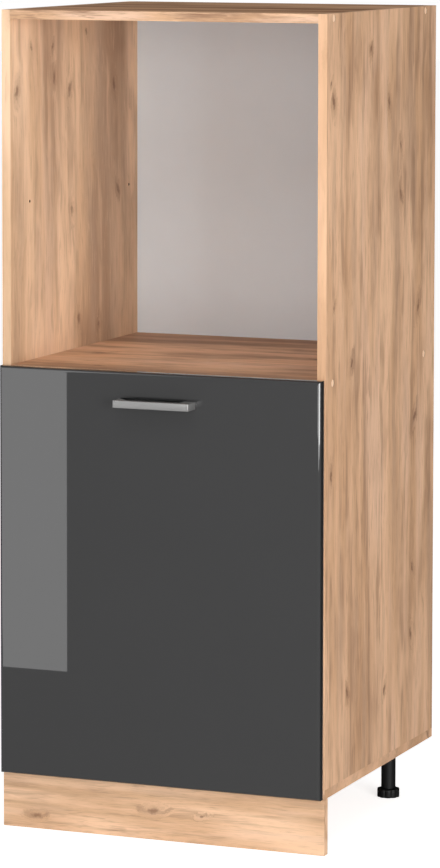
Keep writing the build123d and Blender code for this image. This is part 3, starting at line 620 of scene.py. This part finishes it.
def floor_material(studio):
    """Matt and pale, lifted to white for the camera, and an even glow in front for mirrors."""
    material = bpy.data.materials.new("pale floor")
    material.use_nodes = True
    tree = material.node_tree
    tree.nodes.clear()
    seen, glossy = ray_kinds(tree)
    diffuse = add(tree, "BsdfDiffuse", Color=(0.86, 0.86, 0.86, 1.0))
    lift = add(tree, "Emission", Color=WHITE)
    feed(tree, lift, "Strength", times(tree, seen, studio.floor_lift))
    both = add(tree, "AddShader")
    feed(tree, both, 0, diffuse.outputs[0])
    feed(tree, both, 1, lift.outputs[0])
    mirrored = add(tree, "Emission", Color=WHITE)
    near = ramp(tree, split(tree, object_place(tree))[1], 0.3, -0.5)
    feed(tree, mirrored, "Strength", times(tree, near, studio.mirrored))
    either = add(tree, "MixShader")
    for index, socket in enumerate((glossy, both.outputs[0], mirrored.outputs[0])):
        feed(tree, either, index, socket)
    output = add(tree, "OutputMaterial")
    feed(tree, output, "Surface", either.outputs[0])
    return material


# Mesh helpers

def read_vectors(items, key):
    """One vector of each corner or face, as the rows of an array."""
    values = np.empty(len(items) * 3)
    items.foreach_get(key, values)
    return values.reshape(-1, 3)


def dress(name, material, core=None, front_only=False):
    """Gives a carried-over node one material, and its bored holes and seats a second one.

    With front_only the second one covers all faces but the front.
    """
    tolerance = 0.05 * MM
    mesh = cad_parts[name].data
    mesh.materials.clear()
    mesh.materials.append(material)
    slots = np.zeros(len(mesh.polygons), dtype=np.int32)
    if core:
        mesh.materials.append(core)
        places = read_vectors(mesh.polygons, "center")
        corners = read_vectors(mesh.vertices, "co")
        near_low = np.abs(places - corners.min(axis=0)) < tolerance
        near_high = np.abs(places - corners.max(axis=0)) < tolerance
        outside = near_low[:, 1] if front_only else (near_low | near_high).any(axis=1)
        slots[~outside] = 1
    mesh.polygons.foreach_set("material_index", slots)


def mark_crisp_edges(mesh, degrees):
    """Keeps edges sharper than the angle crisp and shades the rest smoothly."""
    mesh.polygons.foreach_set("use_smooth", [True] * len(mesh.polygons))
    normals = read_vectors(mesh.polygons, "normal")
    beside = {}
    for polygon in mesh.polygons:
        for key in polygon.edge_keys:
            beside.setdefault(key, []).append(polygon.index)
    limit = math.cos(math.radians(degrees))
    sharp = [False] * len(mesh.edges)
    for edge in mesh.edges:
        pair = beside.get(edge.key, [])
        if len(pair) == 2:
            sharp[edge.index] = float(normals[pair[0]] @ normals[pair[1]]) < limit
    mesh.edges.foreach_set("use_edge_sharp", sharp)


def make_piece(name, vertices, faces, material, crisp_angle=None):
    """A mesh object at the origin, smooth but for edges sharper than the angle, or flat without one."""
    mesh = bpy.data.meshes.new(name)
    mesh.from_pydata(np.asarray(vertices).tolist(), [], [list(face) for face in faces])
    mesh.validate()
    mesh.update()
    mesh.materials.append(material)
    if crisp_angle:
        mark_crisp_edges(mesh, crisp_angle)
    else:
        mesh.polygons.foreach_set("use_smooth", [False] * len(mesh.polygons))
    piece = bpy.data.objects.new(name, mesh)
    bpy.context.scene.collection.objects.link(piece)
    return piece


def grid_faces(rows, columns):
    """Quads of a grid whose columns close round on themselves."""
    row, column = np.meshgrid(np.arange(rows - 1), np.arange(columns), indexing="ij")
    beside = (column + 1) % columns
    here, above = row * columns, (row + 1) * columns
    quads = np.stack((here + column, here + beside, above + beside, above + column), axis=-1)
    return quads.reshape(-1, 4).tolist()


def closed_tube(rings):
    """Corners and faces of stacked closed rings with a flat fan face at each end."""
    rows, columns, _ = rings.shape
    faces = grid_faces(rows, columns)
    faces.append(list(range(columns))[::-1])
    faces.append([(rows - 1) * columns + index for index in range(columns)])
    return rings.reshape(-1, 3), faces


def full_turn(steps):
    """Angles once round, without the last one that would repeat the first."""
    return np.linspace(0, 2 * math.pi, steps, endpoint=False)


def round_rings(radius, height, angle):
    """Rings about Z: each row's radius times the cosine and sine of the angle, at its height."""
    return np.stack((radius * np.cos(angle), radius * np.sin(angle), height), axis=-1)


def saw_thread(height, pitch, angle):
    """A helical triangle wave of height less turn, from 0 in the root to 1 at the crest."""
    wave = (height / pitch - angle / (2 * math.pi)) % 1.0
    return np.abs(2 * wave - 1)


def join_shells(shells):
    """Puts several corner and face lists into one."""
    corners, faces, first = [], [], 0
    for points, polygons in shells:
        corners.append(points)
        faces += [[index + first for index in polygon] for polygon in polygons]
        first += len(points)
    return np.concatenate(corners), faces


def turn_to(direction):
    """Rotation rows that carry +Z to the given direction."""
    return np.array(Vector((0.0, 0.0, 1.0)).rotation_difference(Vector(direction)).to_matrix())


def loose_solids(name):
    """The separate solids of a node, each as an array of its corners.

    Corners in the same place count as one, and each triangle spreads the lowest label
    of its corners until no label changes.
    """
    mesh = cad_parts[name].data
    corners = read_vectors(mesh.vertices, "co")
    mesh.calc_loop_triangles()
    triangles = np.empty(len(mesh.loop_triangles) * 3, dtype=np.int64)
    mesh.loop_triangles.foreach_get("vertices", triangles)
    _, merged = np.unique(np.round(corners, 6), axis=0, return_inverse=True)
    merged = merged.reshape(-1)
    triangles = merged[triangles].reshape(-1, 3)
    labels = np.arange(merged.max() + 1)
    while True:
        lowest = labels[triangles].min(axis=1)
        updated = labels.copy()
        np.minimum.at(updated, triangles.reshape(-1), np.repeat(lowest, 3))
        if np.array_equal(updated, labels):
            break
        labels = updated
    of_corner = labels[merged]
    return [corners[of_corner == label] for label in np.unique(of_corner)]


def bar_of(corners):
    """Start at the wide end, direction, length and the two radii of a round bar.

    The bar's axis is the one whose two cross extents are the most alike.
    """
    low, high = corners.min(axis=0), corners.max(axis=0)
    extent = high - low
    axis = int(np.argmin(np.abs(np.roll(extent, -1) - np.roll(extent, 1))))
    middle = (low + high) / 2
    across = [index for index in range(3) if index != axis]
    radius = np.linalg.norm(corners[:, across] - middle[across], axis=1)
    near_low = radius[np.isclose(corners[:, axis], low[axis], atol=1e-5)].max()
    near_high = radius[np.isclose(corners[:, axis], high[axis], atol=1e-5)].max()
    head_is_low = near_low > near_high
    direction = np.zeros(3)
    direction[axis] = 1.0 if head_is_low else -1.0
    start = middle.copy()
    start[axis] = low[axis] if head_is_low else high[axis]
    return {
        "start": start,
        "direction": direction,
        "length": float(extent[axis]),
        "head": float(max(near_low, near_high)),
        "shank": float(min(near_low, near_high)),
    }


# Pieces

def cross_screw(bar, head_height, pitch):
    """A screw as one surface of turn angle and distance along its profile.

    The head is a low dome, as the fourth power of the radius, with a cross-shaped recess
    whose depth falls off with the radius and with the angle from the nearest arm. The
    shank's radius is a triangle wave of height less turn, and it ends in a short point.
    """
    head, shank, length = bar["head"], bar["shank"], bar["length"]
    recess_reach, recess_depth = 0.62, 0.55 * head_height
    dome_depth, rim_depth = 0.22 * head_height, 0.45 * head_height
    root_share, tip_share = 0.80, 0.12
    rings_per_turn, fewest_rings = 3, 6
    angle = full_turn(24)
    arm = np.abs(np.sin(2 * angle)) ** 0.5
    level = np.ones_like(angle)
    rings = []
    for share in (0.02, 0.22, 0.42, 0.62, 0.84, 0.97):
        recess = recess_depth * np.clip(1 - share / recess_reach, 0, 1) ** 0.5 * (1 - arm)
        rings.append((share * head * level, dome_depth * share ** 4 + recess))
    rings.append((head * level, rim_depth * level))
    rings.append((head * level, head_height * level))
    threads = max(fewest_rings, int((length - head_height) / pitch * rings_per_turn))
    for depth in np.linspace(head_height, length - shank, threads):
        crest = saw_thread(depth, pitch, angle)
        rings.append((shank * (root_share + (1 - root_share) * crest), depth * level))
    rings.append((tip_share * shank * level, length * level))
    radius, depth = np.array(rings).transpose(1, 0, 2)
    points, faces = closed_tube(round_rings(radius, depth, angle))
    return points @ turn_to(bar["direction"]).T + bar["start"], faces


def dome_cap(corners, rings=7, turns=28):
    """A flush cap whose face falls off near the rim with the sixth power of the radius."""
    low, high = corners.min(axis=0), corners.max(axis=0)
    middle = (low + high) / 2
    outside = 1.0 if low[0] > 0 else -1.0
    face = high[0] if outside > 0 else low[0]
    thickness, radius = high[0] - low[0], (high[1] - low[1]) / 2
    shares = np.linspace(0.03, 1.0, rings)
    share = np.append(shares, 1.0)[:, None]
    depth = np.append(0.35 * thickness * shares ** 6, thickness)[:, None]
    angle = full_turn(turns)
    rows = np.stack(
        (
            np.repeat(face - outside * depth, turns, axis=1),
            middle[1] + outside * radius * share * np.cos(angle),
            middle[2] + radius * share * np.sin(angle),
        ),
        axis=-1,
    )
    return closed_tube(rows[::-1])


def foot_profile(shape):
    """Radius, height and lobe weight up the outside of the pad.

    It starts in the shallow hollow below the pad, turns a small lower edge and a softer
    upper one as quarter circles, and ends where the spindle starts.
    """
    edge, height = shape.foot_pad_radius, shape.foot_pad_height
    middle, hollow, hollow_depth, lip, soft = 0.5 * MM, 12.5 * MM, 3 * MM, 0.8 * MM, 1.8 * MM
    curve = np.linspace(0, math.pi / 2, 6)
    rows = [
        (middle, hollow_depth, 0.0),
        (hollow, hollow_depth, 0.0),
        (hollow + lip, hollow_depth - 0.4 * MM, 0.0),
        (hollow + 1.5 * lip, 0.0, 0.0),
    ]
    rows += [(edge - lip + lip * math.sin(t), lip - lip * math.cos(t), 1.0) for t in curve]
    rows += [(edge - soft + soft * math.cos(t), height - soft + soft * math.sin(t), 1.0) for t in curve]
    rows.append((edge - 2 * soft, height - 0.2 * MM, 0.5))
    rows.append((shape.spindle_radius + 1.5 * lip, height - 0.4 * MM, 0.0))
    return rows


def foot_shell(place, top, shape):
    """One foot as a surface of turn angle and distance along its outline.

    The pad's radius has a round hollow between lobes: |cos| of half the lobe count
    times the angle. The spindle's radius is a clipped triangle wave of height less turn,
    and the spindle is hollow down to the pad.
    """
    pad, pitch, spindle = shape.foot_pad_height, shape.thread_pitch, shape.spindle_radius
    bore, bore_edge, bore_floor, rings_per_turn = 5 * MM, 0.1 * MM, pad + 1 * MM, 6
    angle = full_turn(shape.foot_lobes * 12)
    lobe = 1 - np.abs(np.cos(shape.foot_lobes * angle / 2)) ** 0.7
    rings = []
    for base, level, weight in foot_profile(shape):
        rings.append((base - weight * shape.foot_lobe_depth * lobe, level))
    for level in np.arange(pad, top - pitch, pitch / rings_per_turn):
        crest = np.clip(1.6 * saw_thread(level, pitch, angle) - 0.3, 0, 1)
        run_in = np.clip((level - pad) / pitch, 0, 1)
        rings.append((spindle - shape.thread_depth * (1 - crest * run_in), level))
    rings.append((spindle - 2 * shape.thread_depth, top))
    rings.append((bore + bore_edge, top))
    rings.append((bore, bore_floor))
    rings.append((0.08 * bore, bore_floor))
    radius = np.array([np.broadcast_to(ring[0], angle.shape) for ring in rings])
    height = np.repeat([[ring[1]] for ring in rings], len(angle), axis=1)
    points, faces = closed_tube(round_rings(radius, height, angle))
    return points + place, faces


def corner_arc(centre, radius, start, end, steps=6):
    """Points on an arc between two angles in degrees."""
    angle = np.radians(np.linspace(start, end, steps))
    return np.stack((centre[0] + radius * np.cos(angle), centre[1] + radius * np.sin(angle)), axis=-1)


def bow_outline(low, high, shape):
    """The handle's outline in plan: a rectangle less the rounded finger gap at its back."""
    corner, inner, foot = shape.handle_corner, shape.handle_gap_corner, 0.2 * MM
    gap_left = (low[0] + high[0] - shape.handle_gap_width) / 2
    gap_right = (low[0] + high[0] + shape.handle_gap_width) / 2
    gap_front = high[1] - shape.handle_gap_depth
    runs = [
        corner_arc((low[0] + corner, low[1] + corner), corner, 180, 270),
        corner_arc((high[0] - corner, low[1] + corner), corner, 270, 360),
        corner_arc((high[0] - foot, high[1] - foot), foot, 0, 90, 3),
        corner_arc((gap_right + foot, high[1] - foot), foot, 90, 180, 3),
        corner_arc((gap_right - inner, gap_front + inner), inner, 0, -90),
        corner_arc((gap_left + inner, gap_front + inner), inner, -90, -180),
        corner_arc((gap_left - foot, high[1] - foot), foot, 0, 90, 3),
        corner_arc((low[0] + foot, high[1] - foot), foot, 90, 180, 3),
    ]
    return np.concatenate(runs)


def inset(outline, distance):
    """Moves a closed outline inwards along the mean of its two edge normals."""
    ahead = np.roll(outline, -1, axis=0) - outline
    behind = outline - np.roll(outline, 1, axis=0)
    normal = np.stack((-(ahead + behind)[:, 1], (ahead + behind)[:, 0]), axis=-1)
    length = np.linalg.norm(ahead, axis=1)[:, None]
    first = np.stack((-ahead[:, 1], ahead[:, 0]), axis=-1) / np.maximum(length, 1e-9)
    normal /= np.maximum(np.linalg.norm(normal, axis=1)[:, None], 1e-9)
    spread = np.maximum((normal * first).sum(axis=1), 0.5)[:, None]
    return outline + normal * distance / spread


def rounded_plate(outline, bottom, top, rounding, steps=4):
    """A plate of any outline whose rim turns through a quarter circle at both faces."""
    curve = np.linspace(0, math.pi / 2, steps + 1)
    rings = []
    for face, inwards, turns in ((bottom, 1, curve[::-1]), (top, -1, curve)):
        for turn in turns:
            flat = inset(outline, rounding * (1 - math.cos(turn)))
            height = face + inwards * rounding * (1 - math.sin(turn))
            rings.append(np.column_stack((flat, np.full(len(flat), height))))
    return closed_tube(np.array(rings))


# Operators

class CABINET_OT_boards(bpy.types.Operator):
    """Dress the boards and edge bands in the printed wood decor"""

    bl_idname = "cabinet.boards"
    bl_label = "Boards"

    def execute(self, context):
        # Painted shade: the core colour is darkened well below bare particle board, so the bored holes and
        # seats look shaded.
        core = mottled_material(
            "raw core", settings("decor").raw, roughness=0.8, grain=1.1 * MM, spread=0.25, strength=0.4,
            Specular_IOR_Level=0.1,
        )
        for name, look in BOARD_PRINTS.items():
            dress(name, decor_material(f"decor {name}", look), core)
        for name, look in EDGE_PRINTS.items():
            dress(name, decor_material(f"decor {name}", look))
        return {"FINISHED"}


class CABINET_OT_back_boards(bpy.types.Operator):
    """Dress the thin back boards: white lacquer inside, bare fibreboard behind"""

    bl_idname = "cabinet.back_boards"
    bl_label = "Back boards"

    def execute(self, context):
        finish = settings("finish")
        # Painted light: this white lacquer carries a blue tint that cancels the warm bounce light off the
        # wood.
        white = mottled_material(
            "white lacquer", finish.back_board, roughness=0.42, grain=1.2 * MM, spread=0.02, strength=0.08
        )
        bare = mottled_material(
            "bare fibreboard", finish.fibreboard, roughness=0.8, grain=0.9 * MM, spread=0.2, strength=0.3,
            Specular_IOR_Level=0.1,
        )
        for name in BACK_BOARDS:
            dress(name, white, bare, front_only=True)
        return {"FINISHED"}


class CABINET_OT_door(bpy.types.Operator):
    """Dress the door: high gloss outside, plain pale foil on its back"""

    bl_idname = "cabinet.door"
    bl_label = "Door"

    def execute(self, context):
        finish = settings("finish")
        dress("door_panel", gloss_door_material(finish))
        bumper = mottled_material(
            "soft dots", finish.bumper, roughness=0.35, grain=0.8 * MM, spread=0.04, strength=0.05
        )
        dress("door_bumpers", bumper)
        return {"FINISHED"}


class CABINET_OT_handle(bpy.types.Operator):
    """Model the flat bow handle with softened edges and brushed metal"""

    bl_idname = "cabinet.handle"
    bl_label = "Handle"

    def execute(self, context):
        low, high = (np.array(corner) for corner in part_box("door_handle"))
        shape = settings("shape")
        outline = bow_outline(low, high, shape)
        points, faces = rounded_plate(outline, low[2], high[2], shape.handle_edge)
        material = brushed_material("brushed handle", settings("finish").handle, roughness=0.40)
        piece = make_piece("handle_bow", points, faces, material, crisp_angle=35)
        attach(piece, "door")
        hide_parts("door_handle")
        return {"FINISHED"}


class CABINET_OT_feet(bpy.types.Operator):
    """Model the four height-adjustable feet, and dress their sockets and the plinth clips"""

    bl_idname = "cabinet.feet"
    bl_label = "Feet"

    def execute(self, context):
        shape, finish = settings("shape"), settings("finish")
        material = mottled_material(
            "moulded black", finish.plastic, roughness=0.5, grain=0.7 * MM, spread=0.12, strength=0.18,
            Specular_IOR_Level=0.2,
        )
        for foot in FEET:
            node = f"{foot}_leg_foot"
            low, high = (np.array(corner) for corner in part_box(node))
            centre = (low + high) / 2
            centre[2] = low[2]
            points, faces = foot_shell(centre, high[2] - low[2], shape)
            piece = make_piece(f"{foot}_screw_foot", points, faces, material, crisp_angle=40)
            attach(piece, f"foot_{foot}")
            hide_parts(node)
        for name in PLASTIC_NODES:
            dress(name, material)
        return {"FINISHED"}


class CABINET_OT_caps(bpy.types.Operator):
    """Model the press-in caps over the screws in both sides"""

    bl_idname = "cabinet.caps"
    bl_label = "Cover caps"

    def execute(self, context):
        points, faces = join_shells([dome_cap(solid) for solid in loose_solids("cover_caps")])
        material = mottled_material(
            "cap plastic", settings("finish").cap, roughness=0.5, grain=0.8 * MM, spread=0.04, strength=0.08
        )
        piece = make_piece("side_cover_caps", points, faces, material, crisp_angle=40)
        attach(piece, "root")
        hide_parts("cover_caps")
        return {"FINISHED"}


class CABINET_OT_hardware(bpy.types.Operator):
    """Model the cross-head screws, and dress the hinges and the hidden fasteners"""

    bl_idname = "cabinet.hardware"
    bl_label = "Hardware"

    def execute(self, context):
        steel = mottled_material(
            "plated steel", settings("finish").steel, roughness=0.26, grain=0.9 * MM, spread=0.05,
            strength=0.05, Metallic=1.0,
        )
        for name in STEEL_NODES:
            dress(name, steel)
        pitch = settings("shape").screw_pitch
        for name, body in SCREW_NODES.items():
            bars = [bar_of(solid) for solid in loose_solids(name)]
            shells = [cross_screw(bar, min(0.6 * bar["head"], 2.2 * MM), pitch) for bar in bars]
            points, faces = join_shells(shells)
            piece = make_piece(f"{name}_cross_head", points, faces, steel, crisp_angle=40)
            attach(piece, body)
            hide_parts(name)
        dress("wood_dowels", decor_material("raw beech", RAW_BEECH))
        return {"FINISHED"}


class CABINET_OT_stage(bpy.types.Operator):
    """Set the camera, the pale floor, the world and the soft lamps"""

    bl_idname = "cabinet.stage"
    bl_label = "Stage"

    def execute(self, context):
        studio = settings("studio")
        self.place_camera(studio)
        self.lay_floor(studio)
        self.light_world(studio)
        for lamp in LAMPS:
            self.hang(lamp, getattr(studio, lamp.setting))
        context.scene.view_settings.view_transform = "Standard"
        return {"FINISHED"}

    def place_camera(self, studio):
        """The camera looks along +Y, then turns by pitch, yaw and roll."""
        data = bpy.data.cameras.new("camera")
        data.sensor_width = SENSOR_MILLIMETRES
        data.lens = studio.focal_pixels * SENSOR_MILLIMETRES / PICTURE_HEIGHT_PIXELS
        data.shift_y = studio.shift_up
        camera = bpy.data.objects.new("camera", data)
        turn = (
            Matrix.Rotation(studio.yaw, 4, "Z")
            @ Matrix.Rotation(math.pi / 2 - studio.pitch, 4, "X")
            @ Matrix.Rotation(-studio.roll, 4, "Z")
        )
        camera.matrix_world = Matrix.Translation(studio.eye) @ turn
        bpy.context.scene.collection.objects.link(camera)
        bpy.context.scene.camera = camera

    def lay_floor(self, studio):
        half = 30.0
        points = [(-half, -half, 0.0), (half, -half, 0.0), (half, half, 0.0), (-half, half, 0.0)]
        floor = make_piece("floor", points, [(0, 1, 2, 3)], floor_material(studio))

    def light_world(self, studio):
        """White for the camera, an even glow in front for mirrors, and a soft upper sky for the rest."""
        world = bpy.data.worlds.new("studio")
        world.use_nodes = True
        bpy.context.scene.world = world
        tree = world.node_tree
        tree.nodes.clear()
        seen, glossy = ray_kinds(tree)
        _, y, z = split(tree, add(tree, "TexCoord").outputs["Generated"])
        level = times(tree, ramp(tree, z, 0.3, 0.6), studio.ambient)
        front = times(tree, ramp(tree, y, 0.15, -0.15), studio.mirrored)
        for ray, strength in ((glossy, front), (seen, 1.0)):
            others = times(tree, calc(tree, "SUBTRACT", 1.0, ray), level)
            level = calc(tree, "MULTIPLY_ADD", ray, strength, others)
        background = add(tree, "Background", Color=WHITE)
        feed(tree, background, "Strength", level)
        output = add(tree, "OutputWorld")
        feed(tree, output, "Surface", background.outputs[0])

    def hang(self, lamp, radiance):
        """Puts up a lamp that the camera doesn't see and mirrors do."""
        data = bpy.data.lights.new(lamp.name, "AREA")
        data.shape = "RECTANGLE"
        width, height = lamp.size
        data.size = width
        data.size_y = height
        data.energy = radiance * math.pi * width * height
        piece = bpy.data.objects.new(lamp.name, data)
        piece.location = lamp.place
        aim = Vector(lamp.target) - Vector(lamp.place)
        piece.rotation_euler = aim.to_track_quat("-Z", "Y").to_euler()
        piece.visible_camera = False
        piece.visible_diffuse = lamp.lights_matt
        bpy.context.scene.collection.objects.link(piece)


OPERATORS = (
    CABINET_OT_stage,
    CABINET_OT_boards,
    CABINET_OT_back_boards,
    CABINET_OT_door,
    CABINET_OT_handle,
    CABINET_OT_feet,
    CABINET_OT_caps,
    CABINET_OT_hardware,
)
GROUPS = {
    "decor": DecorSettings,
    "finish": FinishSettings,
    "shape": ShapeSettings,
    "studio": StudioSettings,
}


class CABINET_PT_panel(bpy.types.Panel):
    """Lists the operators and their settings"""

    bl_idname = "CABINET_PT_panel"
    bl_label = "Oven housing cabinet"
    bl_space_type = "VIEW_3D"
    bl_region_type = "UI"
    bl_category = "Cabinet"

    def draw(self, context):
        for operator in OPERATORS:
            self.layout.operator(operator.bl_idname)
        for name, group in GROUPS.items():
            box = self.layout.box()
            for key in group.__annotations__:
                box.prop(settings(name), key)


def register():
    for group in GROUPS.values():
        bpy.utils.register_class(group)
    for name, group in GROUPS.items():
        setattr(bpy.types.Scene, f"cabinet_{name}", bpy.props.PointerProperty(type=group))
    for operator in OPERATORS:
        bpy.utils.register_class(operator)
    bpy.utils.register_class(CABINET_PT_panel)


def unregister():
    bpy.utils.unregister_class(CABINET_PT_panel)
    for operator in reversed(OPERATORS):
        bpy.utils.unregister_class(operator)
    for name, group in GROUPS.items():
        delattr(bpy.types.Scene, f"cabinet_{name}")
        bpy.utils.unregister_class(group)


def main():
    register()
    for operator in OPERATORS:
        family, name = operator.bl_idname.split(".")
        getattr(getattr(bpy.ops, family), name)()


if __name__ == "__main__":
    main()
